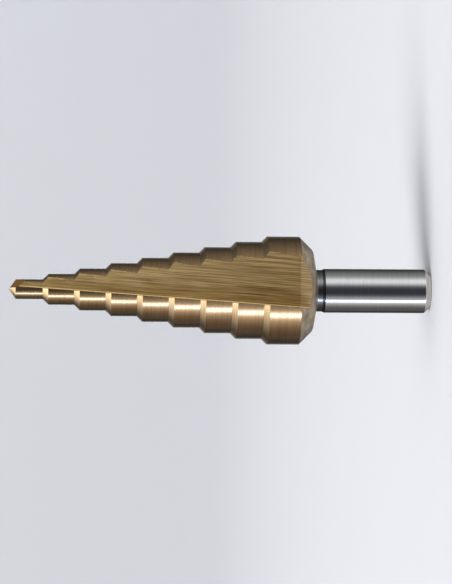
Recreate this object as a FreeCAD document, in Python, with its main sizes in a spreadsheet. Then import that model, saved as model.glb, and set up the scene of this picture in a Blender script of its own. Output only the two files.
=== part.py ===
import FreeCAD, Part
import math
import os

import Sketcher
from FreeCAD import Placement, Rotation, Vector

# A step drill, ground from one bar: nine steps, two straight flutes, a split point and a round shank.
# It stands on the flat end of its shank, which is the origin, with +Z along the axis to the point.
# X is square to the rake face of the flute that opens towards -Y. Lengths are in millimetres and
# angles in degrees. An edge's place is an expression of the sizes below, so it moves with them.

SIZES = {
    "shank_dia": 8.0,  # plain round shank, held in a three-jaw chuck
    "shank_len": 19.23,
    "shank_chamfer": 1.0,
    "neck_dia": 7.6,  # undercut that lets the grinding wheel run out behind the last step
    "neck_len": 1.04,
    "neck_taper_len": 0.5,
    "first_dia": 4.0,  # the smallest hole the drill makes
    "dia_growth": 2.0,  # each step is this much larger than the one before
    "step_count": 9.0,
    "step_pitch": 5.65,  # from one step's cone to the next
    "step_cone_angle": 45.0,  # of the cone between two steps, to the axis
    "root_round": 0.3,  # in the corner between a step and the next cone
    "first_land_len": 4.89,
    "last_land_len": 5.64,
    "point_angle": 110.0,  # across the two lips
    "rear_cone_len": 2.63,
    "rear_cone_angle": 45.0,
    "rear_round": 1.0,  # on the corner between the rear cone and the rear face
    "rear_face_angle": 11.0,  # how far the rear face falls away towards the neck
    "grind_allowance": 0.5,  # left on the turned bar for grinding the point and the steps
    "relief_throw": 0.15,  # how far off the axis each land is ground, for clearance
    "relief_mid_angle": 210.0,  # of the middle of one land's grinding, from the X axis
    "rake_ahead": 0.62,  # how far the rake face is ahead of centre at the point
    "rake_slope": 4.02,  # of the rake face to the axis
    "web_half": 0.58,  # from the axis to the flute's floor at the point
    "floor_slope": 7.6,  # of the flute's floor to the axis
    "runout_slope": 11.6,  # of the floor beside the rear cone, where the wheel leaves
    "flute_angle": 90.0,  # between the rake face and the floor
    "flute_round": 0.3,  # in the corner of the flute
    "split_ahead": 0.3,  # how far the split's rake face is ahead of centre
    "split_depth": -0.15,  # from the axis to the split's floor at the point
    "split_slope": 31.0,  # of the split's floor to the axis
    "split_angle": 121.0,  # between the split's rake face and its floor
    "split_round": 0.15,
}

STEP_COUNT = int(SIZES["step_count"])

# What follows from the sizes. Heights are above the shank's end, each from the one below it.
MARKS = {
    "first_radius": "Sizes.first_dia / 2",
    "rise": "Sizes.dia_growth / 2",
    "last_radius": "Marks.first_radius + (Sizes.step_count - 1) * Marks.rise",
    "rear_radius": "Marks.last_radius - Sizes.rear_cone_len * tan(Sizes.rear_cone_angle)",
    "cone_len": "Marks.rise / tan(Sizes.step_cone_angle)",
    "neck_foot": "Sizes.shank_len + Sizes.neck_taper_len",
    "neck_top": "Marks.neck_foot + Sizes.neck_len",
    "rear_corner": "Marks.neck_top + (Marks.rear_radius - Sizes.neck_dia / 2) * tan(Sizes.rear_face_angle)",
    "land_end": "Marks.rear_corner + Sizes.rear_cone_len",
    "last_cone": "Marks.land_end + Sizes.last_land_len + Marks.cone_len",
    "first_cone": "Marks.last_cone + (Sizes.step_count - 2) * Sizes.step_pitch",
    "shoulder": "Marks.first_cone + Sizes.first_land_len",
    "point": "Marks.shoulder + Marks.first_radius / tan(Sizes.point_angle / 2)",
    "relief_lead": "Sizes.relief_mid_angle - 180",
    "head_radius": "Marks.last_radius + Sizes.grind_allowance",
    "head_top": "Marks.point + Sizes.grind_allowance",
    "clear": "Marks.last_radius + Sizes.rear_cone_len",
}


def make_sheet(doc):
    """Writes the driving sizes into the sheet, one row each, with the name as the cell's alias."""
    sheet = doc.addObject("Spreadsheet::Sheet", "Sizes")
    for row, (name, value) in enumerate(SIZES.items(), start=1):
        sheet.set(f"A{row}", name)
        sheet.set(f"B{row}", str(value))
        sheet.setAlias(f"B{row}", name)
    doc.recompute()
    return sheet


def make_marks(doc):
    """Works out what follows from the sizes, as properties that keep their expressions."""
    marks = doc.addObject("App::VarSet", "Marks")
    for name, expression in MARKS.items():
        marks.addProperty("App::PropertyFloat", name)
        marks.setExpression(name, expression)
        doc.recompute()
    return marks


def origin_feature(body, role):
    """Returns the body's own origin plane or axis with that role."""
    for feature in body.Origin.OriginFeatures:
        if feature.Role == role:
            return feature
    raise ValueError(f"no origin feature {role}")


class Outline:
    """A closed sketch outline whose every corner is bound to the sheet."""

    def __init__(self, body, name, plane):
        self.sketch = body.newObject("Sketcher::SketchObject", name)
        self.sketch.AttachmentSupport = [(origin_feature(body, plane), "")]
        self.sketch.MapMode = "FlatFace"
        self.ends = []

    def value(self, text):
        """Returns what an expression comes to."""
        found = self.sketch.evalExpression(text)
        return float(getattr(found, "Value", found))

    def spot(self, corner):
        """Returns the point that a pair of expressions gives."""
        return Vector(self.value(corner[0]), self.value(corner[1]), 0)

    def pin(self, edge, end, corner):
        """Binds one end of an edge to a pair of expressions."""
        here = self.spot(corner)
        for kind, text, size in (("DistanceX", corner[0], here.x), ("DistanceY", corner[1], here.y)):
            at = self.sketch.addConstraint(Sketcher.Constraint(kind, -1, 1, edge, end, size))
            self.sketch.setExpression(f"Constraints[{at}]", text)

    def path(self, corners):
        """Adds straight edges through the corners."""
        for start, end in zip(corners, corners[1:]):
            edge = self.sketch.addGeometry(Part.LineSegment(self.spot(start), self.spot(end)), False)
            self.pin(edge, 1, start)
            self.ends.append((edge, 1, 2))

    def arc(self, start, end, radius, left=True):
        """Adds a round edge that curves to the left or to the right on its way."""
        first = self.spot(start)
        last = self.spot(end)
        size = self.value(radius)
        chord = last - first
        across = Vector(-chord.y, chord.x, 0).normalize() * (1 if left else -1)
        centre = (first + last) / 2 + across * math.sqrt(size ** 2 - (chord.Length / 2) ** 2)
        angles = [math.atan2(spot.y - centre.y, spot.x - centre.x) for spot in (first, last)]
        near, far = (1, 2) if left else (2, 1)
        circle = Part.Circle(centre, Vector(0, 0, 1), size)
        edge = self.sketch.addGeometry(Part.ArcOfCircle(circle, angles[near - 1], angles[far - 1]), False)
        self.pin(edge, near, start)
        at = self.sketch.addConstraint(Sketcher.Constraint("Radius", edge, size))
        self.sketch.setExpression(f"Constraints[{at}]", radius)
        self.ends.append((edge, near, far))

    def close(self):
        """Joins each edge's end to the start of the next, all the way round."""
        for this, following in zip(self.ends, self.ends[1:] + self.ends[:1]):
            joint = Sketcher.Constraint("Coincident", this[0], this[2], following[0], following[1])
            self.sketch.addConstraint(joint)
        return self.sketch


def on_size(radius, height):
    """Returns the radius, about a land's own centre, that puts its cutting edge at the full radius."""
    edge_across = f"(Sizes.rake_ahead - (Marks.point - {height}) * tan(Sizes.rake_slope))"
    ahead = f"(asin({edge_across} / ({radius})) - Marks.relief_lead * 1 deg)"
    return f"({radius} - Sizes.relief_throw * cos({ahead}))"


def make_blank(body):
    """Turns the bar: an oversize head, then the rear cone, rear face, neck and shank."""
    outline = Outline(body, "BlankOutline", "XZ_Plane")
    rear_turn = "((90 - Sizes.rear_cone_angle - Sizes.rear_face_angle) / 2)"
    reach = f"(Sizes.rear_round * tan({rear_turn}))"
    round_start = (f"Marks.rear_radius + {reach} * sin(Sizes.rear_cone_angle)",
                   f"Marks.rear_corner + {reach} * cos(Sizes.rear_cone_angle)")
    round_end = (f"Marks.rear_radius - {reach} * cos(Sizes.rear_face_angle)",
                 f"Marks.rear_corner - {reach} * sin(Sizes.rear_face_angle)")
    neck_radius = "Sizes.neck_dia / 2"
    shank_radius = "Sizes.shank_dia / 2"
    outline.path([
        ("0", "Marks.head_top"),
        ("Marks.head_radius", "Marks.head_top"),
        ("Marks.head_radius", "Marks.land_end + Sizes.grind_allowance / tan(Sizes.rear_cone_angle)"),
        round_start,
    ])
    outline.arc(round_start, round_end, "Sizes.rear_round", left=False)
    outline.path([
        round_end,
        (neck_radius, "Marks.neck_top"),
        (neck_radius, "Marks.neck_foot"),
        (shank_radius, "Sizes.shank_len"),
        (shank_radius, "Sizes.shank_chamfer"),
        (f"{shank_radius} - Sizes.shank_chamfer", "0"),
        ("0", "0"),
        ("0", "Marks.head_top"),
    ])
    blank = body.newObject("PartDesign::Revolution", "Blank")
    blank.Profile = outline.close()
    blank.ReferenceAxis = (outline.sketch, ["V_Axis"])
    blank.Angle = 360
    return blank


def make_land(body):
    """Grinds the point and the steps of one land.

    The half turn is about an axis that lies off the drill's own, so each land is at full size at its
    cutting edge and falls away behind it.
    """
    outline = Outline(body, "LandOutline", "XZ_Plane")
    sketch = outline.sketch
    turned = "Sizes.relief_mid_angle"
    sketch.AttachmentOffset = Placement(Vector(), Rotation(Vector(0, 1, 0), SIZES["relief_mid_angle"]))
    sketch.setExpression("AttachmentOffset.Rotation.Angle", turned)
    sketch.setExpression("AttachmentOffset.Base.x", f"-Sizes.relief_throw * sin({turned})")
    sketch.setExpression("AttachmentOffset.Base.z", f"-Sizes.relief_throw * cos({turned})")
    body.Document.recompute()

    reach = "(Sizes.root_round * tan(Sizes.step_cone_angle / 2))"
    radius = on_size("Marks.first_radius", "Marks.shoulder")
    tip = ("0", f"Marks.shoulder + {radius} / tan(Sizes.point_angle / 2)")
    here = (radius, "Marks.shoulder")
    outline.path([tip, here])
    for step in range(1, STEP_COUNT):
        cone_start = f"(Marks.first_cone - {step - 1} * Sizes.step_pitch)"
        wider = on_size(f"(Marks.first_radius + {step} * Marks.rise)", cone_start)
        round_start = (radius, f"{cone_start} + {reach}")
        round_end = (f"{radius} + {reach} * sin(Sizes.step_cone_angle)",
                     f"{cone_start} - {reach} * cos(Sizes.step_cone_angle)")
        cone_end = (wider, f"{cone_start} - ({wider} - {radius}) / tan(Sizes.step_cone_angle)")
        outline.path([here, round_start])
        outline.arc(round_start, round_end, "Sizes.root_round")
        outline.path([round_end, cone_end])
        here = cone_end
        radius = wider
    foot = "Marks.land_end - Sizes.rear_cone_len / 2"
    side = "Marks.clear"
    top = "Marks.head_top + Sizes.grind_allowance"
    outline.path([here, (radius, foot), (side, foot), (side, top), ("0", top), tip])
    land = body.newObject("PartDesign::Groove", "Land")
    land.Profile = outline.close()
    land.ReferenceAxis = (sketch, ["V_Axis"])
    land.Angle = 180
    land.Midplane = True
    return land


def vee_cut(body, name, top, length, corner, slopes, angle, rounding):
    """Grinds a vee along a straight line that leans two ways: a wall along Y, a corner and a floor.

    Args:
        top: expression, the height above the shank end where the cut starts, going down.
        length: expression, how far down it goes.
        corner: expressions, where the corner lies along X and towards -Y, at the top.
        slopes: expressions, how far the corner moves along X and towards -Y for each unit down.
        angle: expression, between the wall and the floor.
        rounding: expression, the radius of the corner.
    """
    across, depth = corner
    outline = Outline(body, f"{name}Outline", "XY_Plane")
    sketch = outline.sketch
    sketch.setExpression("AttachmentOffset.Base.z", top)
    body.Document.recompute()
    reach = f"({rounding} * tan((180 - {angle}) / 2))"
    side = f"({across} + 2 * Marks.clear)"
    mouth = f"-({depth} + 2 * Marks.clear)"
    wall_top = (across, mouth)
    wall_foot = (across, f"-{depth} - {reach}")
    floor_start = (f"{across} + {reach} * cos({angle} - 90)", f"-{depth} + {reach} * sin({angle} - 90)")
    floor_end = (side, f"-{depth} + ({side} - {across}) * tan({angle} - 90)")
    outline.path([(side, mouth), floor_end, floor_start])
    outline.arc(floor_start, wall_foot, rounding)
    outline.path([wall_foot, wall_top, (side, mouth)])
    cut = body.newObject("PartDesign::Pocket", name)
    cut.Profile = outline.close()
    cut.setExpression("Length", length)
    cut.UseCustomVector = True
    cut.Direction = Vector(0, 0, -1)
    cut.setExpression("Direction.x", slopes[0])
    cut.setExpression("Direction.y", f"-{slopes[1]}")
    cut.AlongSketchNormal = True
    return cut


def make_flute(body):
    """Cuts one straight flute down to the rear cone, where the wheel starts to leave."""
    above = "Sizes.dia_growth"
    slopes = ("(-tan(Sizes.rake_slope))", "tan(Sizes.floor_slope)")
    corner = (f"(Sizes.rake_ahead - {above} * {slopes[0]})",
              f"(Sizes.web_half - {above} * {slopes[1]})")
    return vee_cut(body, "Flute", f"Marks.point + {above}", f"Marks.point + {above} - Marks.land_end",
                   corner, slopes, "Sizes.flute_angle", "Sizes.flute_round")


def make_runout(body):
    """Cuts the flute's end beside the rear cone, where its floor rises to the surface."""
    slopes = ("(-tan(Sizes.rake_slope))", "tan(Sizes.runout_slope)")
    along = "(Marks.point - Marks.land_end)"
    corner = (f"(Sizes.rake_ahead + {along} * {slopes[0]})",
              f"(Sizes.web_half + {along} * tan(Sizes.floor_slope))")
    return vee_cut(body, "FluteRunout", "Marks.land_end", "2 * Sizes.rear_cone_len",
                   corner, slopes, "Sizes.flute_angle", "Sizes.flute_round")


def make_split(body):
    """Cuts one side of the split point, which thins the web between the lips."""
    above = "Sizes.dia_growth"
    slopes = ("0", "tan(Sizes.split_slope)")
    corner = ("Sizes.split_ahead", f"(Sizes.split_depth - {above} * {slopes[1]})")
    return vee_cut(body, "Split", f"Marks.point + {above}", f"{above} + Sizes.first_land_len",
                   corner, slopes, "Sizes.split_angle", "Sizes.split_round")


def make_drill(doc):
    """Builds the drill: the turned blank, then relief, flute and split point on both sides."""
    body = doc.addObject("PartDesign::Body", "step_drill")
    body.Label = "step_drill"
    make_blank(body)
    doc.recompute()
    both = []
    for make in (make_land, make_flute, make_runout, make_split):
        volume = body.Shape.Volume
        both.append(make(body))
        doc.recompute()
        if not body.Shape.Volume < volume:
            raise RuntimeError(f"{both[-1].Name} cuts nothing")
    pattern = body.newObject("PartDesign::PolarPattern", "BothSides")
    pattern.Originals = both
    pattern.Axis = (origin_feature(body, "Z_Axis"), [""])
    pattern.Angle = 360
    pattern.Occurrences = 2
    body.Tip = pattern
    doc.recompute()
    return body


def check(doc, body):
    """Stops if any object failed or the drill isn't one sound solid."""
    for item in doc.Objects:
        if "Invalid" in item.State or "Error" in item.State:
            raise RuntimeError(f"{item.Name} failed: {item.State}")
    shape = body.Shape
    if shape.isNull() or not shape.isValid() or len(shape.Solids) != 1:
        raise RuntimeError(f"{body.Label} isn't one sound solid")


doc = FreeCAD.newDocument("StepDrill")
make_sheet(doc)
make_marks(doc)
drill = make_drill(doc)
check(doc, drill)
os.makedirs("parts", exist_ok=True)
drill.Shape.exportStep(f"parts/{drill.Label}.step")
box = drill.Shape.BoundBox
print(drill.Label, round(drill.Shape.Volume, 2), "mm3", round(box.XLength, 3), round(box.YLength, 3),
      round(box.ZMin, 3), round(box.ZMax, 3), "faces", len(drill.Shape.Faces))
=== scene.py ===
import logging
import math
from collections.abc import Callable, Sequence
from dataclasses import dataclass
from enum import Enum

import bpy
from mathutils import Matrix, Vector


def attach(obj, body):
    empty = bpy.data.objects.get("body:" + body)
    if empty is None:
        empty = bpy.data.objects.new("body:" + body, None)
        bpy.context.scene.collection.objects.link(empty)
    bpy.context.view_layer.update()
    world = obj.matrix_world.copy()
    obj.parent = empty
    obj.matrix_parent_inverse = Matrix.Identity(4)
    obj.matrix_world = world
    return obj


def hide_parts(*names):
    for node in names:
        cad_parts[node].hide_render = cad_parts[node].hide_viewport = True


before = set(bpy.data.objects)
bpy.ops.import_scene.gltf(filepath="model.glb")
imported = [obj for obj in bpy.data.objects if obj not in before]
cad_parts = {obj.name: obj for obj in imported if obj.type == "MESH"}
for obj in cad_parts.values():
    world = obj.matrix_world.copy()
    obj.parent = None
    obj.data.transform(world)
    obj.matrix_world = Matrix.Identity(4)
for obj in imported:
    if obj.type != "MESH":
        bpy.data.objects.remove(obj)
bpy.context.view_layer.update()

MM = 0.001  # one millimetre in the scene's metres
IMAGE_HEIGHT = 584  # pixels, the longer side of the picture
SENSOR = 36.0  # the camera's sensor, in its own millimetres
RAKE_SLOPE = 4.02  # degrees between the rake edge and the drill's axis

# Two corners that are nearer than this are one, in a shape's own units.
SAME_CORNER = 1e-5  # on an outline
SAME_SPUN = 1e-4  # on a spun or drawn shape
SAME_CUT = 2e-4  # where cuts meet

Spot = tuple[float, float]
Place = tuple[float, float, float]
Tree = bpy.types.NodeTree
Socket = bpy.types.NodeSocket

log = logging.getLogger("step_drill")


class Skin(Enum):
    """The surfaces of the drill that the eye tells apart."""

    LAND = "land"
    CONE = "cone"
    POINT = "point"
    FLOOR = "floor"
    RUNOUT = "runout"
    RAKE = "rake"
    SPLIT = "split"
    BACK = "back"
    NECK = "neck"
    TAPER = "taper"
    SHANK = "shank"
    SHANK_END = "shank_end"


class Lay(Enum):
    """Which way the lines of a wheel or a turning tool run."""

    ROUND = "round"
    ALONG = "along"


def linear(code: str) -> tuple[float, float, float, float]:
    """Turns an sRGB hex colour into linear light.

    Args:
        code: the colour, such as "#cfa86c".

    Returns:
        Red, green, blue and an alpha of one.
    """
    parts = [int(code[at:at + 2], 16) / 255 for at in (1, 3, 5)]
    light = [part / 12.92 if part <= 0.04045 else ((part + 0.055) / 1.055) ** 2.4
             for part in parts]
    return (light[0], light[1], light[2], 1.0)


def add_node(tree: Tree, kind: str, values: dict | None = None, links: dict | None = None,
             **settings: object) -> bpy.types.Node:
    """Adds a node with its settings, socket values and incoming links.

    Args:
        tree: where the node goes.
        kind: the node's type, such as "ShaderNodeMath".
        values: what its own sockets hold, by name or number.
        links: which outputs feed its sockets, by name or number.
        settings: the node's properties, by name.

    Returns:
        The node.
    """
    node = tree.nodes.new(kind)
    for name, value in settings.items():
        setattr(node, name, value)
    for socket, value in (values or {}).items():
        node.inputs[socket].default_value = value
    for socket, source in (links or {}).items():
        tree.links.new(source, node.inputs[socket])
    return node


@dataclass(frozen=True)
class ScratchesAndGlints:
    """One set of long thin scratch lines, the pale ones partly painted glints. Lengths are in
    millimetres.
    """

    seed: float
    spacing: float
    length: float
    share: float  # above nought for pale ones, below it for dark ones


# Pale scratch lines down the whole flute, shorter pale ones, and dark ones between them. The pale
# ones are partly painted glints, where a scratch's flank would catch the light, and all of them are
# bumps as well. They are drawn a tenth of a millimetre wide or more, so that they show: the real
# ones are finer.
SCRATCHES_AND_GLINTS = (
    ScratchesAndGlints(seed=0.0, spacing=0.5, length=120.0, share=1.0),
    ScratchesAndGlints(seed=3.7, spacing=0.3, length=30.0, share=1.0),
    ScratchesAndGlints(seed=8.3, spacing=0.35, length=45.0, share=-0.8),
)
SCRATCH_FOOT = 0.2  # where a scratch begins, in spacings from its middle
SCRATCH_FULL = 0.05  # and where it is at its full strength


@dataclass(frozen=True)
class GroundSteel:
    """A steel surface that a wheel or a tool left its lines on, bare or under a thin hard coating.

    Sizes are in millimetres. Pitches are what the render can show: the real lines are finer, so
    these are drawn coarser.
    """

    name: str
    lay: Lay
    pale: str
    dark: str
    roughness: float
    roughness_spread: float
    line_pitch: float
    line_length: float
    line_depth: float
    anisotropy: float
    rake_slope: float = RAKE_SLOPE  # the flute's lines run along its rake edge
    contrast: float = 1.0
    line_reach: float = 0.2  # how far the pattern of the lines strays from its middle, a half
    broad: float = 0.42  # the share of a second, broader set of lines
    broad_pitch: float = 2.3  # how many times the pitch of the first set
    broad_length: float = 2.2  # and how many times its length
    broad_seed: float = 7.0
    clouds: float = 0.22  # the share of stains of no direction
    cloud_size: float = 6.0
    cloud_reach: float = 0.15
    oil: float = 0.0  # how much of the surface a thin film of oil covers
    oil_roughness: float = 0.8  # of the steel's own roughness
    scratches_and_glints: float = 0.0  # how strongly a few long scratch lines show: in colour, the pale ones partly as painted glints, and in relief
    scratch_depth: float = 0.02  # more than the real depth, so that they catch the light
    fade: float = 0.0  # how much paler the colour is drawn for each millimetre towards the point
    fade_height: float = 40.0  # where it has its plain colour
    mean_radius: float = 8.0  # at which a turn round the axis is counted in millimetres

    def build(self) -> bpy.types.Material:
        """Makes the material.

        Returns:
            The material, with this finish's own name.
        """
        material = bpy.data.materials.new(self.name)
        material.use_nodes = True
        tree = material.node_tree
        tree.nodes.clear()
        place = add_node(tree, "ShaderNodeTexCoord").outputs["Object"]
        lines = self.lines(tree, place, self.line_pitch, self.line_length, 0.0)
        second = self.lines(tree, place, self.line_pitch * self.broad_pitch,
                            self.line_length * self.broad_length, self.broad_seed)
        both = add_node(tree, "ShaderNodeMix", {0: self.broad}, {2: lines, 3: second},
                        data_type="FLOAT").outputs[0]
        clouds = add_node(tree, "ShaderNodeTexNoise",
                          {"Scale": 1 / (self.cloud_size * MM), "Detail": 3.0},
                          {"Vector": place}).outputs["Fac"]
        reach = self.line_reach / self.contrast
        shade = add_node(tree, "ShaderNodeMapRange",
                         {"From Min": 0.5 - reach, "From Max": 0.5 + reach},
                         {"Value": both}).outputs["Result"]
        clouds = add_node(tree, "ShaderNodeMapRange",
                          {"From Min": 0.5 - self.cloud_reach, "From Max": 0.5 + self.cloud_reach},
                          {"Value": clouds}).outputs["Result"]
        shade = add_node(tree, "ShaderNodeMix", {0: self.clouds}, {2: shade, 3: clouds},
                         data_type="FLOAT").outputs[0]
        normal = add_node(tree, "ShaderNodeBump",
                          {"Strength": 1.0, "Distance": self.line_depth * MM},
                          {"Height": both}).outputs["Normal"]
        # the scratch lines change the colour, the pale ones partly as painted glints, and they also
        # become bumps
        if self.scratches_and_glints:
            scratches_and_glints = self.scratched_and_glinting(tree, place)
            shade = add_node(tree, "ShaderNodeMath", links={0: shade, 1: scratches_and_glints},
                             operation="ADD").outputs[0]
            normal = add_node(tree, "ShaderNodeBump",
                              {"Strength": 1.0, "Distance": self.scratch_depth * MM},
                              {"Height": scratches_and_glints, "Normal": normal}).outputs["Normal"]
        if self.fade:
            height = add_node(tree, "ShaderNodeSeparateXYZ", links={0: place}).outputs["Z"]
            shade = add_node(tree, "ShaderNodeMath", {1: self.fade / MM}, {0: height, 2: shade},
                             operation="MULTIPLY_ADD").outputs[0]
            shade = add_node(tree, "ShaderNodeMath", {1: self.fade_height * self.fade}, {0: shade},
                             operation="SUBTRACT").outputs[0]
        colour = add_node(tree, "ShaderNodeMix", {6: linear(self.dark), 7: linear(self.pale)},
                          {0: shade}, data_type="RGBA").outputs[2]
        rough = add_node(tree, "ShaderNodeMapRange",
                         {"From Min": 0.25, "From Max": 0.75,
                          "To Min": self.roughness + self.roughness_spread,
                          "To Max": self.roughness - self.roughness_spread},
                         {"Value": both}).outputs["Result"]
        shader = add_node(tree, "ShaderNodeBsdfPrincipled",
                          {"Metallic": 1.0, "Anisotropic": self.anisotropy, "Coat Weight": self.oil,
                           "Coat Roughness": self.roughness * self.oil_roughness},
                          {"Base Color": colour, "Roughness": rough, "Normal": normal,
                           "Tangent": self.tangent(tree)})
        add_node(tree, "ShaderNodeOutputMaterial", links={"Surface": shader.outputs["BSDF"]})
        return material

    def scratched_and_glinting(self, tree: Tree, place: Socket) -> Socket:
        """Draws long thin scratch lines, some pale and some dark; the pale ones are partly painted
        glints.

        Args:
            tree: the material's nodes.
            place: the socket that gives the place on the drill.

        Returns:
            Nought between the scratches, more in the pale ones and less in the dark ones.
        """
        total = None
        for kind in SCRATCHES_AND_GLINTS:
            spot = self.drawn_out(tree, place, kind.spacing, kind.length, kind.seed)
            cell = add_node(tree, "ShaderNodeTexVoronoi", {"Scale": 1.0}, {"Vector": spot},
                            voronoi_dimensions="2D").outputs
            line = add_node(tree, "ShaderNodeMapRange",
                            {"From Min": SCRATCH_FOOT, "From Max": SCRATCH_FULL,
                             "To Max": kind.share * self.scratches_and_glints},
                            {"Value": cell["Distance"]}).outputs["Result"]
            strength = add_node(tree, "ShaderNodeSeparateColor",
                                links={0: cell["Color"]}).outputs[0]
            fed = {0: line, 1: strength} if total is None else {0: line, 1: strength, 2: total}
            total = add_node(tree, "ShaderNodeMath", {2: 0.0}, fed,
                             operation="MULTIPLY_ADD").outputs[0]
        return total

    def lines(self, tree: Tree, place: Socket, pitch: float, length: float, seed: float) -> Socket:
        """Draws one set of lines.

        Args:
            tree: the material's nodes.
            place: the socket that gives the place on the drill.
            pitch: from one line to the next, in millimetres.
            length: how long a line runs, in millimetres.
            seed: tells one set from another.

        Returns:
            A value round a half that changes fast across the lines and slowly along them.
        """
        spot = self.drawn_out(tree, place, pitch, length, seed)
        return add_node(tree, "ShaderNodeTexNoise", {"Scale": 1.0, "Detail": 3.0, "Roughness": 0.6},
                        {"Vector": spot}).outputs["Fac"]

    def drawn_out(self, tree: Tree, place: Socket, pitch: float, length: float,
                  seed: float) -> Socket:
        """Turns a place into one that counts pitches across the lines and lengths along them.

        Args:
            tree: the material's nodes.
            place: the socket that gives the place on the drill.
            pitch: the unit across the lines, in millimetres.
            length: the unit along the lines, in millimetres.
            seed: tells one set from another.

        Returns:
            The new place.
        """
        parts = add_node(tree, "ShaderNodeSeparateXYZ", links={0: place}).outputs
        if self.lay is Lay.ROUND:
            across = parts["Z"]
            along = add_node(tree, "ShaderNodeMath", links={0: parts["Y"], 1: parts["X"]},
                             operation="ARCTAN2").outputs[0]
            along = add_node(tree, "ShaderNodeMath", {1: self.mean_radius * MM}, {0: along},
                             operation="MULTIPLY").outputs[0]
        else:
            # each flute's lines keep to its own rake edge, so the far flute's are turned half round
            side = add_node(tree, "ShaderNodeMath", links={0: parts["Y"]},
                            operation="SIGN").outputs[0]
            across = add_node(tree, "ShaderNodeMath", links={0: parts["X"], 1: side},
                              operation="MULTIPLY").outputs[0]
            across = add_node(tree, "ShaderNodeMath", {1: math.tan(math.radians(self.rake_slope))},
                              {0: parts["Z"], 2: across}, operation="MULTIPLY_ADD").outputs[0]
            along = parts["Z"]
        spot = add_node(tree, "ShaderNodeCombineXYZ", links={0: across, 1: along}).outputs[0]
        return add_node(tree, "ShaderNodeVectorMath",
                        {1: (1 / (pitch * MM), 1 / (length * MM), 1.0), 2: (seed, seed, seed)},
                        {0: spot}, operation="MULTIPLY_ADD").outputs[0]

    def tangent(self, tree: Tree) -> Socket:
        """Gives the direction across the lines, in which they smear a highlight."""
        across = (0.0, 0.0, 1.0) if self.lay is Lay.ROUND else (1.0, 0.0, 0.0)
        return add_node(tree, "ShaderNodeCombineXYZ", dict(enumerate(across))).outputs[0]


# Titanium nitride is a gold ceramic a few thousandths of a millimetre thick. It takes the ground
# surface's own lines, so it shines like brushed brass, browner where the light leaves it.
COATED_LAND = GroundSteel(
    "titanium_nitride_on_ground_lands", Lay.ROUND, pale="#ddb988", dark="#ab8758",
    roughness=0.27, roughness_spread=0.035, line_pitch=0.16, line_length=14.0, line_depth=0.0004,
    anisotropy=0.75, oil=0.7)
# The cones and the point have the same coating as the lands, drawn a little paler: partly a painted
# highlight where they face the light overhead.
COATED_CONE = GroundSteel(
    "titanium_nitride_on_ground_cones", Lay.ROUND, pale="#dfc396", dark="#c09d6a",
    roughness=0.28, roughness_spread=0.05, line_pitch=0.12, line_length=10.0, line_depth=0.001,
    anisotropy=0.6, oil=0.5)
COATED_POINT = GroundSteel(
    "titanium_nitride_on_ground_point", Lay.ROUND, pale="#e2c493", dark="#bb965f",
    roughness=0.25, roughness_spread=0.05, line_pitch=0.12, line_length=4.0, line_depth=0.001,
    anisotropy=0.4, oil=0.5)
# The flute is ground coarser than the lands, so it scatters the light, and single scratches stand
# out. The lines run on into its end.
COATED_FLOOR = GroundSteel(
    "titanium_nitride_on_ground_flute", Lay.ALONG, pale="#ffdd99", dark="#ae8650",
    roughness=0.6, roughness_spread=0.08, line_pitch=0.19, line_length=12.0, line_depth=0.006,
    anisotropy=0.8, contrast=1.3, broad=0.0, clouds=0.04, scratches_and_glints=0.8, fade=0.012)
COATED_RUNOUT = GroundSteel(
    "titanium_nitride_on_flute_end", Lay.ALONG, pale="#ffe0a6", dark="#be965c",
    roughness=0.6, roughness_spread=0.08, line_pitch=0.19, line_length=12.0, line_depth=0.006,
    anisotropy=0.8, contrast=1.3, broad=0.0, clouds=0.04, scratches_and_glints=0.8)
# The rake face and the round into the flute have the same coating, drawn paler and creamier: a
# painted highlight along the cutting edge.
COATED_RAKE_WITH_PAINTED_HIGHLIGHT = GroundSteel(
    "titanium_nitride_with_painted_highlight_on_rake_face", Lay.ALONG, pale="#fff0c4", dark="#f0d298",
    roughness=0.26, roughness_spread=0.04, line_pitch=0.2, line_length=8.0, line_depth=0.002,
    anisotropy=0.2)
# The notch that thins the web has the same coating, drawn darker: painted shade where it faces away
# from the light.
COATED_SPLIT = GroundSteel(
    "titanium_nitride_on_split_point", Lay.ALONG, pale="#c79a5c", dark="#7d5a34",
    roughness=0.32, roughness_spread=0.06, line_pitch=0.15, line_length=3.0, line_depth=0.003,
    anisotropy=0.4)
# The back is turned, not ground, so it is duller than the lands, and its colour is uneven.
COATED_BACK = GroundSteel(
    "titanium_nitride_on_turned_back", Lay.ROUND, pale="#d0bfa8", dark="#8f7f6c",
    roughness=0.42, roughness_spread=0.06, line_pitch=0.2, line_length=8.0, line_depth=0.002,
    anisotropy=0.4, clouds=0.6, cloud_size=1.6)
# The neck keeps the dark oxide of hardening; the shank is ground bright after it. The taper has the
# same oxide, drawn darker still: painted shade where it faces away from the light.
OXIDE_NECK = GroundSteel(
    "hardening_oxide_on_turned_neck", Lay.ROUND, pale="#a3a6a6", dark="#6c6f6c",
    roughness=0.22, roughness_spread=0.05, line_pitch=0.15, line_length=8.0, line_depth=0.002,
    anisotropy=0.5)
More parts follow.
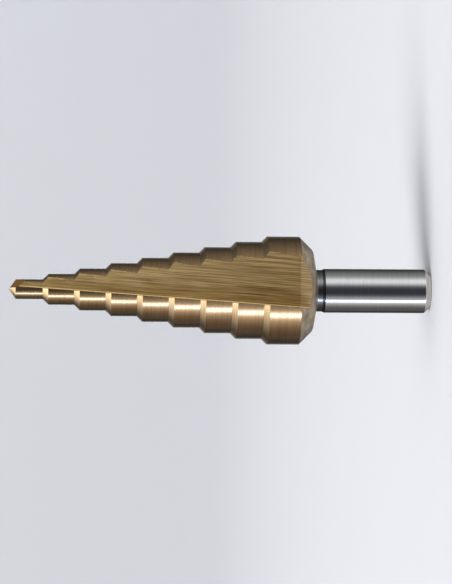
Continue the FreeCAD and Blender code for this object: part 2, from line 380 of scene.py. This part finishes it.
# the same oxide, drawn darker than the neck's as painted shade
OXIDE_WITH_PAINTED_SHADE_TAPER = GroundSteel(
    "hardening_oxide_with_painted_shade_on_taper", Lay.ROUND, pale="#6c7074", dark="#2e3134",
    roughness=0.24, roughness_spread=0.05, line_pitch=0.15, line_length=8.0, line_depth=0.002,
    anisotropy=0.5)
BARE_SHANK = GroundSteel(
    "bare_steel_ground_shank", Lay.ROUND, pale="#e0e0e1", dark="#c6c6c8",
    roughness=0.15, roughness_spread=0.03, line_pitch=0.14, line_length=9.0, line_depth=0.0004,
    anisotropy=0.8)
BARE_END = GroundSteel(
    "bare_steel_turned_end", Lay.ROUND, pale="#e6e3dd", dark="#bcb9b3",
    roughness=0.3, roughness_spread=0.05, line_pitch=0.2, line_length=9.0, line_depth=0.002,
    anisotropy=0.4)

FINISHES = {
    Skin.LAND: COATED_LAND,
    Skin.CONE: COATED_CONE,
    Skin.POINT: COATED_POINT,
    Skin.FLOOR: COATED_FLOOR,
    Skin.RUNOUT: COATED_RUNOUT,
    Skin.RAKE: COATED_RAKE_WITH_PAINTED_HIGHLIGHT,
    Skin.SPLIT: COATED_SPLIT,
    Skin.BACK: COATED_BACK,
    Skin.NECK: OXIDE_NECK,
    Skin.TAPER: OXIDE_WITH_PAINTED_SHADE_TAPER,
    Skin.SHANK: BARE_SHANK,
    Skin.SHANK_END: BARE_END,
}


def hold(piece: bpy.types.Object) -> None:
    """Leaves only this piece selected and active.

    Args:
        piece: what the next operators act on.
    """
    if bpy.context.object is not None and bpy.context.object.mode != "OBJECT":
        bpy.ops.object.mode_set(mode="OBJECT")
    bpy.ops.object.select_all(action="DESELECT")
    piece.select_set(True)
    bpy.context.view_layer.objects.active = piece


def chain(name: str, places: Sequence[Place]) -> bpy.types.Object:
    """Draws a line of edges through the places, by extruding one corner point.

    Args:
        name: the new object's name.
        places: where the corners are.

    Returns:
        The line, left in edit mode with its last corner selected.
    """
    if bpy.context.object is not None and bpy.context.object.mode != "OBJECT":
        bpy.ops.object.mode_set(mode="OBJECT")
    bpy.ops.object.select_all(action="DESELECT")
    bpy.ops.mesh.primitive_plane_add(size=0.01, location=(0, 0, 0))
    line = bpy.context.object
    line.name = name
    bpy.ops.object.mode_set(mode="EDIT")
    bpy.ops.mesh.select_all(action="SELECT")
    bpy.ops.mesh.merge(type="CENTER")
    bpy.ops.transform.translate(value=places[0])
    for start, end in zip(places, places[1:]):
        move = Vector(end) - Vector(start)
        bpy.ops.mesh.extrude_vertices_move(TRANSFORM_OT_translate={"value": move})
    return line


def plate(name: str, places: Sequence[Place]) -> bpy.types.Object:
    """Draws a closed outline and fills it with one face.

    Args:
        name: the new object's name.
        places: the outline's corners, each of them once.

    Returns:
        The plate, left in edit mode with its face selected.
    """
    line = chain(name, [*places, places[0]])
    bpy.ops.mesh.select_all(action="SELECT")
    bpy.ops.mesh.remove_doubles(threshold=SAME_CORNER)
    bpy.ops.mesh.edge_face_add()
    return line


def tidy() -> None:
    """Joins what lies in the same place and turns all faces outwards, on the piece in edit mode."""
    bpy.ops.mesh.select_all(action="SELECT")
    bpy.ops.mesh.remove_doubles(threshold=SAME_SPUN)
    bpy.ops.mesh.normals_make_consistent(inside=False)


def heal() -> None:
    """Joins corners that cuts left all but together and fills slits, on the piece in edit mode."""
    bpy.ops.mesh.select_all(action="SELECT")
    bpy.ops.mesh.remove_doubles(threshold=SAME_CUT)
    bpy.ops.mesh.dissolve_degenerate(threshold=SAME_CUT)
    bpy.ops.mesh.select_all(action="SELECT")
    bpy.ops.mesh.remove_doubles(threshold=SAME_CUT)
    bpy.ops.mesh.delete_loose(use_verts=True, use_edges=True, use_faces=False)
    bpy.ops.mesh.select_all(action="SELECT")
    bpy.ops.mesh.fill_holes(sides=0)


def paint(piece: bpy.types.Object, choose: Callable[[bpy.types.MeshPolygon], Skin]) -> None:
    """Gives each face the material of its surface.

    Args:
        piece: what is dressed.
        choose: says which surface a face belongs to.
    """
    hold(piece)
    slots: dict[Skin, int] = {}
    for face in piece.data.polygons:
        skin = choose(face)
        if skin not in slots:
            finish = FINISHES[skin]
            material = bpy.data.materials.get(finish.name) or finish.build()
            slots[skin] = len(piece.data.materials)
            piece.data.materials.append(material)
        face.material_index = slots[skin]


def subtract(piece: bpy.types.Object, tool: bpy.types.Object) -> None:
    """Cuts the tool's shape out of the piece and takes the tool away.

    Args:
        piece: what is cut.
        tool: a closed shape, whose materials go with the faces that it leaves.
    """
    hold(piece)
    cut = piece.modifiers.new("cut", "BOOLEAN")
    cut.operation = "DIFFERENCE"
    cut.object = tool
    cut.solver = "EXACT"
    cut.material_mode = "TRANSFER"
    before = len(piece.data.polygons)
    bpy.ops.object.modifier_apply(modifier=cut.name)
    after = len(piece.data.polygons)
    log.info("%s: %d faces, %d before %s", piece.name, after, before, tool.name)
    bpy.data.objects.remove(tool)


def half_turned(tool: bpy.types.Object) -> bpy.types.Object:
    """Copies a tool, turned half round the drill's axis, for the other side.

    Args:
        tool: what is copied.

    Returns:
        The copy.
    """
    hold(tool)
    bpy.ops.object.duplicate()
    twin = bpy.context.object
    bpy.ops.object.mode_set(mode="EDIT")
    bpy.ops.mesh.select_all(action="SELECT")
    bpy.ops.transform.rotate(value=math.pi, orient_axis="Z", center_override=(0, 0, 0))
    bpy.ops.object.mode_set(mode="OBJECT")
    return twin


def rounded(before: Spot, corner: Spot, after: Spot, radius: float, count: int) -> list[Spot]:
    """Rounds the corner between two straight lines.

    Args:
        before: a place on the line that comes in.
        corner: where the lines meet.
        after: a place on the line that goes out.
        radius: of the round.
        count: how many edges the round has.

    Returns:
        The places along the round, its two ends included.
    """
    here = Vector(corner)
    back = (Vector(before) - here).normalized()
    on = (Vector(after) - here).normalized()
    half = back.angle(on) / 2
    centre = here + (back + on).normalized() * (radius / math.sin(half))
    start = here + back * (radius / math.tan(half)) - centre
    end = here + on * (radius / math.tan(half)) - centre
    turn = start.angle_signed(end)
    spots = []
    for step in range(count + 1):
        angle = -turn * step / count
        spots.append((centre.x + start.x * math.cos(angle) - start.y * math.sin(angle),
                      centre.y + start.x * math.sin(angle) + start.y * math.cos(angle)))
    return spots


def rounded_path(corners: Sequence[tuple[float, float, float, int]]) -> list[Spot]:
    """Goes through corners and rounds those that have a radius.

    Args:
        corners: how far across and up each lies, its radius, and how many edges its round has.

    Returns:
        The places along the whole path.
    """
    spots = []
    for at, (across, up, radius, count) in enumerate(corners):
        if radius and 0 < at < len(corners) - 1:
            spots += rounded(corners[at - 1][:2], (across, up), corners[at + 1][:2], radius, count)
        else:
            spots.append((across, up))
    return spots


@dataclass
class StepDrill:
    """The drill: one bar, turned, ground to its steps, fluted and pointed.

    Lengths are in millimetres, and angles and slopes in degrees.
    """

    shank_dia: float = 8.0
    shank_len: float = 19.23
    shank_chamfer: float = 1.0
    neck_dia: float = 7.6
    neck_len: float = 1.04
    neck_taper_len: float = 0.5
    first_dia: float = 4.0
    dia_growth: float = 2.0
    step_count: int = 9
    step_pitch: float = 5.65
    step_cone_angle: float = 45.0
    root_round: float = 0.3
    first_land_len: float = 4.89
    last_land_len: float = 5.64
    point_angle: float = 110.0
    rear_cone_len: float = 2.63
    rear_cone_angle: float = 45.0
    rear_round: float = 1.0
    rear_face_angle: float = 11.0
    grind_allowance: float = 0.5
    relief_throw: float = 0.15
    relief_mid_angle: float = 210.0
    rake_ahead: float = 0.62
    rake_slope: float = RAKE_SLOPE
    web_half: float = 0.58
    floor_slope: float = 7.6
    runout_slope: float = 11.6
    flute_angle: float = 90.0
    flute_round: float = 0.3
    split_ahead: float = 0.3
    split_depth: float = -0.15
    split_slope: float = 31.0
    split_angle: float = 121.0
    split_round: float = 0.15
    edge_round: float = 0.05
    chamfer_round: float = 0.35  # both edges of the chamfer are softened
    shank_round: float = 0.08  # where the shank turns in to the taper
    taper_round: float = 0.15  # where the taper meets the neck
    neck_round: float = 0.12  # where the neck meets the rear face
    overlap_angle: float = 0.3  # by which the two lands' wheels meet, where the flutes are cut away
    overlap: float = 0.02  # by which the wheels of a flute and its end meet
    segments: int = 288
    crease_angle: float = 20.0  # faces that meet at less than this look like one curve
    cone_lean: float = 0.35  # how far a face's normal leans along the axis, at least, on a cone
    point_lean: float = 0.3  # and on the point
    wall_lean: float = 0.3  # and along X on a wheel's wall
    neck_margin: float = 0.05  # by which the back's finish runs down the neck
    same_place: float = 0.001  # corners of the finished drill that are nearer than this are one

    def __post_init__(self) -> None:
        """Works out the heights above the shank's end, each from the one below it."""
        self.rise = self.dia_growth / 2
        self.last_radius = self.first_dia / 2 + (self.step_count - 1) * self.rise
        self.rear_radius = self.last_radius - self.rear_cone_len * self.tan(self.rear_cone_angle)
        self.neck_foot = self.shank_len + self.neck_taper_len
        self.neck_top = self.neck_foot + self.neck_len
        face_width = self.rear_radius - self.neck_dia / 2
        self.rear_corner = self.neck_top + face_width * self.tan(self.rear_face_angle)
        self.land_end = self.rear_corner + self.rear_cone_len
        cone_len = self.rise / self.tan(self.step_cone_angle)
        self.last_cone = self.land_end + self.last_land_len + cone_len
        self.first_cone = self.last_cone + (self.step_count - 2) * self.step_pitch
        self.shoulder = self.first_cone + self.first_land_len
        self.point = self.shoulder + self.first_dia / 2 / self.tan(self.point_angle / 2)
        self.clear = self.last_radius + self.rear_cone_len

    @staticmethod
    def tan(degrees: float) -> float:
        """Gives the tangent of an angle in degrees."""
        return math.tan(math.radians(degrees))

    def on_size(self, radius: float, height: float) -> float:
        """Works out the radius about a land's own centre that puts its edge at the full radius.

        Args:
            radius: of the edge, about the drill's axis.
            height: where on the drill it is.

        Returns:
            The radius about the land's own centre.
        """
        across = self.rake_ahead - (self.point - height) * self.tan(self.rake_slope)
        lead = math.radians(self.relief_mid_angle - 180)
        return radius - self.relief_throw * math.cos(math.asin(across / radius) - lead)

    def turn_bar(self) -> bpy.types.Object:
        """Turns the bar: an oversize head, the rear cone and face, the neck and the shank.

        Returns:
            The bar, dressed.
        """
        shank = self.shank_dia / 2
        neck = self.neck_dia / 2
        head = self.last_radius + self.grind_allowance
        top = self.point + self.grind_allowance
        head_foot = self.land_end + self.grind_allowance / self.tan(self.rear_cone_angle)
        # across, up, the corner's radius and how many edges its round has
        spots = rounded_path([
            (0, 0, 0, 0),
            (shank - self.shank_chamfer, 0, self.chamfer_round, 6),
            (shank, self.shank_chamfer, self.chamfer_round, 6),
            (shank, self.shank_len, self.shank_round, 3),
            (neck, self.neck_foot, self.taper_round, 3),
            (neck, self.neck_top, self.neck_round, 4),
            (self.rear_radius, self.rear_corner, self.rear_round, 8),
            (head, head_foot, 0, 0),
            (head, top, 0, 0),
            (0, top, 0, 0),
        ])
        bar = chain("step_drill_body", [(across, 0, up) for across, up in spots])
        bpy.ops.mesh.select_all(action="SELECT")
        bpy.ops.mesh.spin(steps=self.segments, angle=math.tau, center=(0, 0, 0), axis=(0, 0, 1))
        tidy()
        bpy.ops.object.mode_set(mode="OBJECT")
        paint(bar, self.bar_skin)
        return bar

    def bar_skin(self, face: bpy.types.MeshPolygon) -> Skin:
        """Says which surface a face of the turned bar belongs to.

        Args:
            face: one of the bar's.

        Returns:
            The surface.
        """
        if face.center.z < self.shank_chamfer and abs(face.normal.z) > self.cone_lean:
            return Skin.SHANK_END
        if face.center.z < self.shank_len:
            return Skin.SHANK
        if face.center.z < self.neck_foot:
            return Skin.TAPER
        if face.center.z < self.neck_top - self.neck_margin:
            return Skin.NECK
        return Skin.BACK

    def land_wheel(self) -> bpy.types.Object:
        """Makes what the wheel takes off outside one land, half round the land's own centre.

        Returns:
            The closed shape, dressed as the surfaces that it leaves.
        """
        corners = []
        radius = self.on_size(self.first_dia / 2, self.shoulder)
        tip = self.shoulder + radius / self.tan(self.point_angle / 2)
        top = self.point + 2 * self.grind_allowance
        corners.append((0, tip, 0, 0))
        corners.append((radius, self.shoulder, self.edge_round, 2))
        for step in range(1, self.step_count):
            start = self.first_cone - (step - 1) * self.step_pitch
            wider = self.on_size(self.first_dia / 2 + step * self.rise, start)
            corners.append((radius, start, self.root_round, 6))
            corners.append((wider, start - (wider - radius) / self.tan(self.step_cone_angle),
                            self.edge_round, 2))
            radius = wider
        foot = self.land_end - self.rear_cone_len / 2
        corners += [(radius, foot, 0, 0), (self.clear, foot, 0, 0),
                    (self.clear, top, 0, 0), (0, top, 0, 0)]
        first = math.radians(self.relief_mid_angle + 90 + self.overlap_angle)
        across = Vector((math.cos(first), math.sin(first), 0))
        lead = math.radians(self.relief_mid_angle + 90)
        centre = Vector((math.cos(lead), math.sin(lead), 0)) * self.relief_throw
        wheel = plate("land_wheel", [tuple(centre + across * out + Vector((0, 0, up)))
                                     for out, up in rounded_path(corners)])
        bpy.ops.mesh.spin(steps=self.segments // 2,
                          angle=math.radians(180 + 2 * self.overlap_angle),
                          center=centre, axis=(0, 0, 1))
        tidy()
        bpy.ops.object.mode_set(mode="OBJECT")
        paint(wheel, self.land_skin)
        return wheel

    def land_skin(self, face: bpy.types.MeshPolygon) -> Skin:
        """Says which surface a face of the land's wheel leaves behind.

        Args:
            face: one of the wheel's.

        Returns:
            The surface.
        """
        if face.center.z > self.shoulder and abs(face.normal.z) > self.point_lean:
            return Skin.POINT
        return Skin.CONE if abs(face.normal.z) > self.cone_lean else Skin.LAND

    def vee_wheel(self, name: str, top: float, length: float, corner: Spot, slopes: Spot,
                  angle: float, rounding: float, skins: tuple[Skin, Skin]) -> bpy.types.Object:
        """Makes what a wheel takes out that runs straight: a wall, a rounded corner and a floor.

        Args:
            name: the tool's name.
            top: the height where it starts, going down.
            length: how far down it goes.
            corner: where its corner lies along X and towards -Y, at the top.
            slopes: how far the corner moves along X and towards -Y for each unit down.
            angle: between the wall and the floor, in degrees.
            rounding: the radius of the corner.
            skins: the surfaces that the wall and the floor leave.

        Returns:
            The closed shape.
        """
        across, depth = corner
        side = across + 2 * self.clear
        mouth = -(depth + 2 * self.clear)
        outline = rounded_path([
            (across, mouth, 0, 0),
            (across, -depth, rounding, 8),
            (side, -depth + (side - across) * self.tan(angle - 90), 0, 0),
            (side, mouth, 0, 0),
        ])
        wheel = plate(name, [(spot[0], spot[1], top) for spot in outline])
        move = (slopes[0] * length, -slopes[1] * length, -length)
        bpy.ops.mesh.extrude_region_move(TRANSFORM_OT_translate={"value": move})
        tidy()
        bpy.ops.object.mode_set(mode="OBJECT")
        # faces leaning along X, the wall and most of its round, take the wall's finish: on a flute
        # that is the rake's, with its painted highlight
        paint(wheel, lambda face: skins[0] if abs(face.normal.x) > self.wall_lean else skins[1])
        return wheel

    def flute_wheel(self) -> bpy.types.Object:
        """Makes the wheel that cuts a flute down to the rear cone.

        Returns:
            The closed shape.
        """
        above = self.dia_growth
        slopes = (-self.tan(self.rake_slope), self.tan(self.floor_slope))
        corner = (self.rake_ahead - above * slopes[0], self.web_half - above * slopes[1])
        top = self.point + above
        return self.vee_wheel("flute_wheel", top, top - self.land_end, corner, slopes,
                              self.flute_angle, self.flute_round, (Skin.RAKE, Skin.FLOOR))

    def runout_wheel(self) -> bpy.types.Object:
        """Makes the end of the flute, beside the rear cone, where the wheel leaves.

        Returns:
            The closed shape.
        """
        slopes = (-self.tan(self.rake_slope), self.tan(self.runout_slope))
        top = self.land_end + self.overlap
        along = self.point - self.land_end
        corner = (self.rake_ahead + (along - self.overlap) * slopes[0],
                  self.web_half + along * self.tan(self.floor_slope) - self.overlap * slopes[1])
        return self.vee_wheel("runout_wheel", top, 2 * self.rear_cone_len, corner, slopes,
                              self.flute_angle, self.flute_round, (Skin.RAKE, Skin.RUNOUT))

    def split_wheel(self) -> bpy.types.Object:
        """Makes the wheel that thins the web at the point.

        Returns:
            The closed shape.
        """
        above = self.dia_growth
        slopes = (0.0, self.tan(self.split_slope))
        corner = (self.split_ahead, self.split_depth - above * slopes[1])
        length = above + self.first_land_len
        return self.vee_wheel("split_wheel", self.point + above, length, corner, slopes,
                              self.split_angle, self.split_round, (Skin.SPLIT, Skin.SPLIT))

    def build(self) -> bpy.types.Object:
        """Makes the drill in its place, cut after cut, in the order a grinder takes.

        Returns:
            The finished drill, in metres.
        """
        drill = self.turn_bar()
        for make in (self.land_wheel, self.flute_wheel, self.runout_wheel, self.split_wheel):
            wheel = make()
            twin = half_turned(wheel)
            subtract(drill, wheel)
            subtract(drill, twin)
        hold(drill)
        bpy.ops.object.mode_set(mode="EDIT")
        heal()
        bpy.ops.mesh.select_all(action="SELECT")
        bpy.ops.transform.resize(value=(MM, MM, MM), center_override=(0, 0, 0))
        bpy.ops.mesh.remove_doubles(threshold=self.same_place * MM)
        bpy.ops.object.mode_set(mode="OBJECT")
        bpy.ops.object.shade_smooth_by_angle(angle=math.radians(self.crease_angle))
        weigh = drill.modifiers.new("even_shading", "WEIGHTED_NORMAL")
        weigh.keep_sharp = True
        bpy.ops.object.modifier_apply(modifier=weigh.name)
        return drill


@dataclass
class Studio:
    """The pale floor, the soft light all round and the camera. Lengths are in metres.

    The room's light is a list of places round the horizon, in degrees from the camera towards -X,
    each with how bright and how warm it is. It reaches up and down to fade, and another light hangs
    overhead.
    """

    floor_radius: float = 1.6
    cove_radius: float = 0.9
    wall_height: float = 1.6
    distance: float = 0.4352
    camera_height: float = 0.06182
    aim_height: float = 0.03711
    aim_across: float = -0.00032
    focal_pixels: float = 2400.0
    roll: float = 0.31
    horizon: tuple[Place, ...] = (
        (-180, 0.45, 0), (-165, 0.22, 0), (-150, 0.06, 0), (-136, 0.06, 0), (-113, 0.17, 0),
        (-96, 0.26, 0), (-82, 0.36, 0), (-69, 0.66, -0.1), (-60, 1.0, 0), (-48, 1.05, 0),
        (-38, 0.75, 0), (-28, 0.3, -0.2), (-18, 0.095, -0.4), (-6, 0.046, -0.5), (16, 0.05, -0.5),
        (28, 0.17, -0.4), (34, 0.36, 0), (47, 0.56, 0), (50, 1.4, -1), (52.5, 4.0, -1),
        (55, 8.0, -1), (57.5, 4.2, -1), (60, 1.7, -1), (64, 0.95, 0), (74, 0.54, 0.6),
        (88, 0.25, 0.7), (103, 0.15, 1.2), (121, 0.12, 0), (138, 0.05, 0), (150, 0.05, 0),
        (165, 0.22, 0), (180, 0.45, 0))
    brightest: float = 8.0  # of the horizon's places
    cool: Place = (0.88, 1.03, 1.42)  # the tint of daylight, where the third number is -1
    rosy: Place = (1.0, 0.88, 0.88)  # and of light off something warm, where it is 1
    band_edge: float = 0.85  # how high and how low the horizon's light reaches, on a unit ball
    band_full: float = 0.5  # and up to where it is at its full strength
    overhead_tint: Place = (1.0, 1.0, 1.05)
    overhead: float = 2.75
    overhead_way: Place = (-0.08, 0.0, 0.997)
    overhead_power: float = 7.0  # the higher, the narrower the light overhead
    underfoot: float = 0.6
    underfoot_edge: float = -0.3
    underfoot_full: float = -0.7
    lamp_size: float = 0.6
    lamp_watts: float = 11.0
    lamp_way: Place = (-0.55, -0.35, 1.0)
    lamp_distance: float = 1.2
    # the paper is painted paler up the wall, as painted light that makes up for the light the wall
    # gets less of than the floor
    paper_low: str = "#c6c7c9"
    paper_high: str = "#f1f2f2"
    paper_height: float = 0.5  # where the paper has got its paler colour
    cove_edges: int = 24
    segments: int = 96
    crease_angle: float = 30.0  # degrees

    def floor(self) -> bpy.types.Object:
        """Makes the pale floor, which curves up all round into a wall.

        Returns:
            The floor.
        """
        spots = rounded_path([
            (0, 0, 0, 0),
            (self.floor_radius, 0, self.cove_radius, self.cove_edges),
            (self.floor_radius, self.wall_height, 0, 0),
        ])
        floor = chain("floor", [(across, 0, up) for across, up in spots])
        bpy.ops.mesh.select_all(action="SELECT")
        bpy.ops.mesh.spin(steps=self.segments, angle=math.tau, center=(0, 0, 0), axis=(0, 0, 1))
        bpy.ops.mesh.select_all(action="SELECT")
        bpy.ops.mesh.remove_doubles(threshold=SAME_CORNER)
        bpy.ops.mesh.normals_make_consistent(inside=True)
        bpy.ops.object.mode_set(mode="OBJECT")
        bpy.ops.object.shade_smooth_by_angle(angle=math.radians(self.crease_angle))
        floor.data.materials.append(self.paper())
        floor.visible_glossy = False  # so that the metal shows the soft lights, not the paper
        return floor

    def paper(self) -> bpy.types.Material:
        """Makes matt pale paper, painted a little paler towards the top of the wall: painted light,
        making up for the wall getting less light than the floor.

        Returns:
            The material.
        """
        paper = bpy.data.materials.new("matt_pale_paper")
        paper.use_nodes = True
        tree = paper.node_tree
        tree.nodes.clear()
        place = add_node(tree, "ShaderNodeTexCoord").outputs["Object"]
        up = add_node(tree, "ShaderNodeSeparateXYZ", links={0: place}).outputs["Z"]
        lift = add_node(tree, "ShaderNodeMapRange",
                        {"From Min": 0.0, "From Max": self.paper_height},
                        {"Value": up}).outputs[0]
        colour = add_node(tree, "ShaderNodeMix",
                          {6: linear(self.paper_low), 7: linear(self.paper_high)},
                          {0: lift}, data_type="RGBA").outputs[2]
        shader = add_node(tree, "ShaderNodeBsdfPrincipled",
                          {"Roughness": 0.9, "Specular IOR Level": 0.1}, {"Base Color": colour})
        add_node(tree, "ShaderNodeOutputMaterial", links={"Surface": shader.outputs["BSDF"]})
        return paper

    def room(self) -> None:
        """Sets the soft light: bright and dim stretches of the horizon, overhead and underfoot."""
        world = bpy.data.worlds.new("room")
        world.use_nodes = True
        tree = world.node_tree
        tree.nodes.clear()
        way = add_node(tree, "ShaderNodeTexCoord").outputs["Generated"]
        parts = add_node(tree, "ShaderNodeSeparateXYZ", links={0: way}).outputs
        back = add_node(tree, "ShaderNodeVectorMath", {1: (-1.0, -1.0, 1.0)}, {0: way},
                        operation="MULTIPLY").outputs[0]
        turned = add_node(tree, "ShaderNodeSeparateXYZ", links={0: back}).outputs
        turn = add_node(tree, "ShaderNodeMath", links={0: turned["X"], 1: turned["Y"]},
                        operation="ARCTAN2").outputs[0]
        round_share = add_node(tree, "ShaderNodeMapRange",
                               {"From Min": -math.pi, "From Max": math.pi},
                               {"Value": turn}).outputs["Result"]
        ring = add_node(tree, "ShaderNodeValToRGB", links={"Fac": round_share})
        ramp = ring.color_ramp
        ramp.interpolation = "LINEAR"
        while len(ramp.elements) > 1:
            ramp.elements.remove(ramp.elements[-1])
        for at, (degrees, glow, warmth) in enumerate(self.horizon):
            stop = ramp.elements[0] if at == 0 else ramp.elements.new((degrees + 180) / 360)
            stop.position = (degrees + 180) / 360
            tint = self.rosy if warmth > 0 else self.cool
            share = glow / self.brightest
            stop.color = (*(share * (1 + abs(warmth) * (part - 1)) for part in tint), 1.0)
        level = add_node(tree, "ShaderNodeMath", links={0: parts["Z"]},
                         operation="ABSOLUTE").outputs[0]
        band = add_node(tree, "ShaderNodeMapRange",
                        {"From Min": self.band_edge, "From Max": self.band_full,
                         "To Max": self.brightest}, {"Value": level},
                        interpolation_type="SMOOTHSTEP").outputs["Result"]
        around = add_node(tree, "ShaderNodeVectorMath",
                          links={0: ring.outputs["Color"], "Scale": band},
                          operation="SCALE").outputs[0]
        top = add_node(tree, "ShaderNodeVectorMath", {1: self.overhead_way}, {0: way},
                       operation="DOT_PRODUCT").outputs["Value"]
        top = add_node(tree, "ShaderNodeMath", {1: 0.0}, {0: top}, operation="MAXIMUM").outputs[0]
        top = add_node(tree, "ShaderNodeMath", {1: self.overhead_power}, {0: top},
                       operation="POWER").outputs[0]
        tint = tuple(self.overhead * part for part in self.overhead_tint)
        total = add_node(tree, "ShaderNodeVectorMath", {1: tint}, {0: top, 2: around},
                         operation="MULTIPLY_ADD").outputs[0]
        foot = add_node(tree, "ShaderNodeMapRange",
                        {"From Min": self.underfoot_edge, "From Max": self.underfoot_full,
                         "To Max": self.underfoot}, {"Value": parts["Z"]},
                        interpolation_type="SMOOTHSTEP").outputs["Result"]
        total = add_node(tree, "ShaderNodeVectorMath", links={0: total, 1: foot},
                         operation="ADD").outputs[0]
        glow = add_node(tree, "ShaderNodeBackground", {"Strength": 1.0}, {"Color": total})
        add_node(tree, "ShaderNodeOutputWorld", links={"Surface": glow.outputs["Background"]})
        bpy.context.scene.world = world

    def lamp(self) -> bpy.types.Object:
        """Hangs one soft lamp over the drill, which gives it a shadow on the floor.

        Returns:
            The lamp.
        """
        data = bpy.data.lights.new("soft_lamp", "AREA")
        data.shape = "DISK"
        data.size = self.lamp_size
        data.energy = self.lamp_watts
        lamp = bpy.data.objects.new("soft_lamp", data)
        lamp.visible_glossy = False  # the room's own light overhead is what the metal shows
        bpy.context.scene.collection.objects.link(lamp)
        out = Vector(self.lamp_way).normalized()
        turned = out.to_track_quat("Z", "Y").to_matrix().to_4x4()
        lamp.matrix_world = Matrix.Translation(out * self.lamp_distance) @ turned
        return lamp

    def camera(self) -> bpy.types.Object:
        """Places the camera, turned on its side as the picture was.

        Returns:
            The camera.
        """
        data = bpy.data.cameras.new("camera")
        data.sensor_width = SENSOR
        data.sensor_height = SENSOR
        data.lens = self.focal_pixels * SENSOR / IMAGE_HEIGHT
        data.clip_start = 0.01
        camera = bpy.data.objects.new("camera", data)
        bpy.context.scene.collection.objects.link(camera)
        eye = Vector((self.aim_across, -self.distance, self.camera_height))
        back = (eye - Vector((self.aim_across, 0, self.aim_height))).normalized()
        roll = math.radians(self.roll)
        right = Vector((math.sin(roll), 0, -math.cos(roll)))
        right = (right - back * right.dot(back)).normalized()
        up = back.cross(right)
        turned = Matrix((right, up, back)).transposed().to_4x4()
        camera.matrix_world = Matrix.Translation(eye) @ turned
        bpy.context.scene.camera = camera
        return camera

    def build(self) -> None:
        """Sets up the whole studio."""
        self.camera()
        self.room()
        self.lamp()
        self.floor()
        bpy.context.scene.view_settings.view_transform = "Standard"


def main() -> None:
    """Builds the drill and the studio, and reports the drill's faces and materials."""
    logging.basicConfig(level=logging.INFO, format="%(name)s: %(message)s")
    drill = StepDrill().build()
    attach(drill, "root")
    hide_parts("step_drill")
    mesh = drill.data
    log.info("%s: %d faces, %d materials", drill.name, len(mesh.polygons), len(mesh.materials))
    Studio().build()


if __name__ == "__main__":
    main()
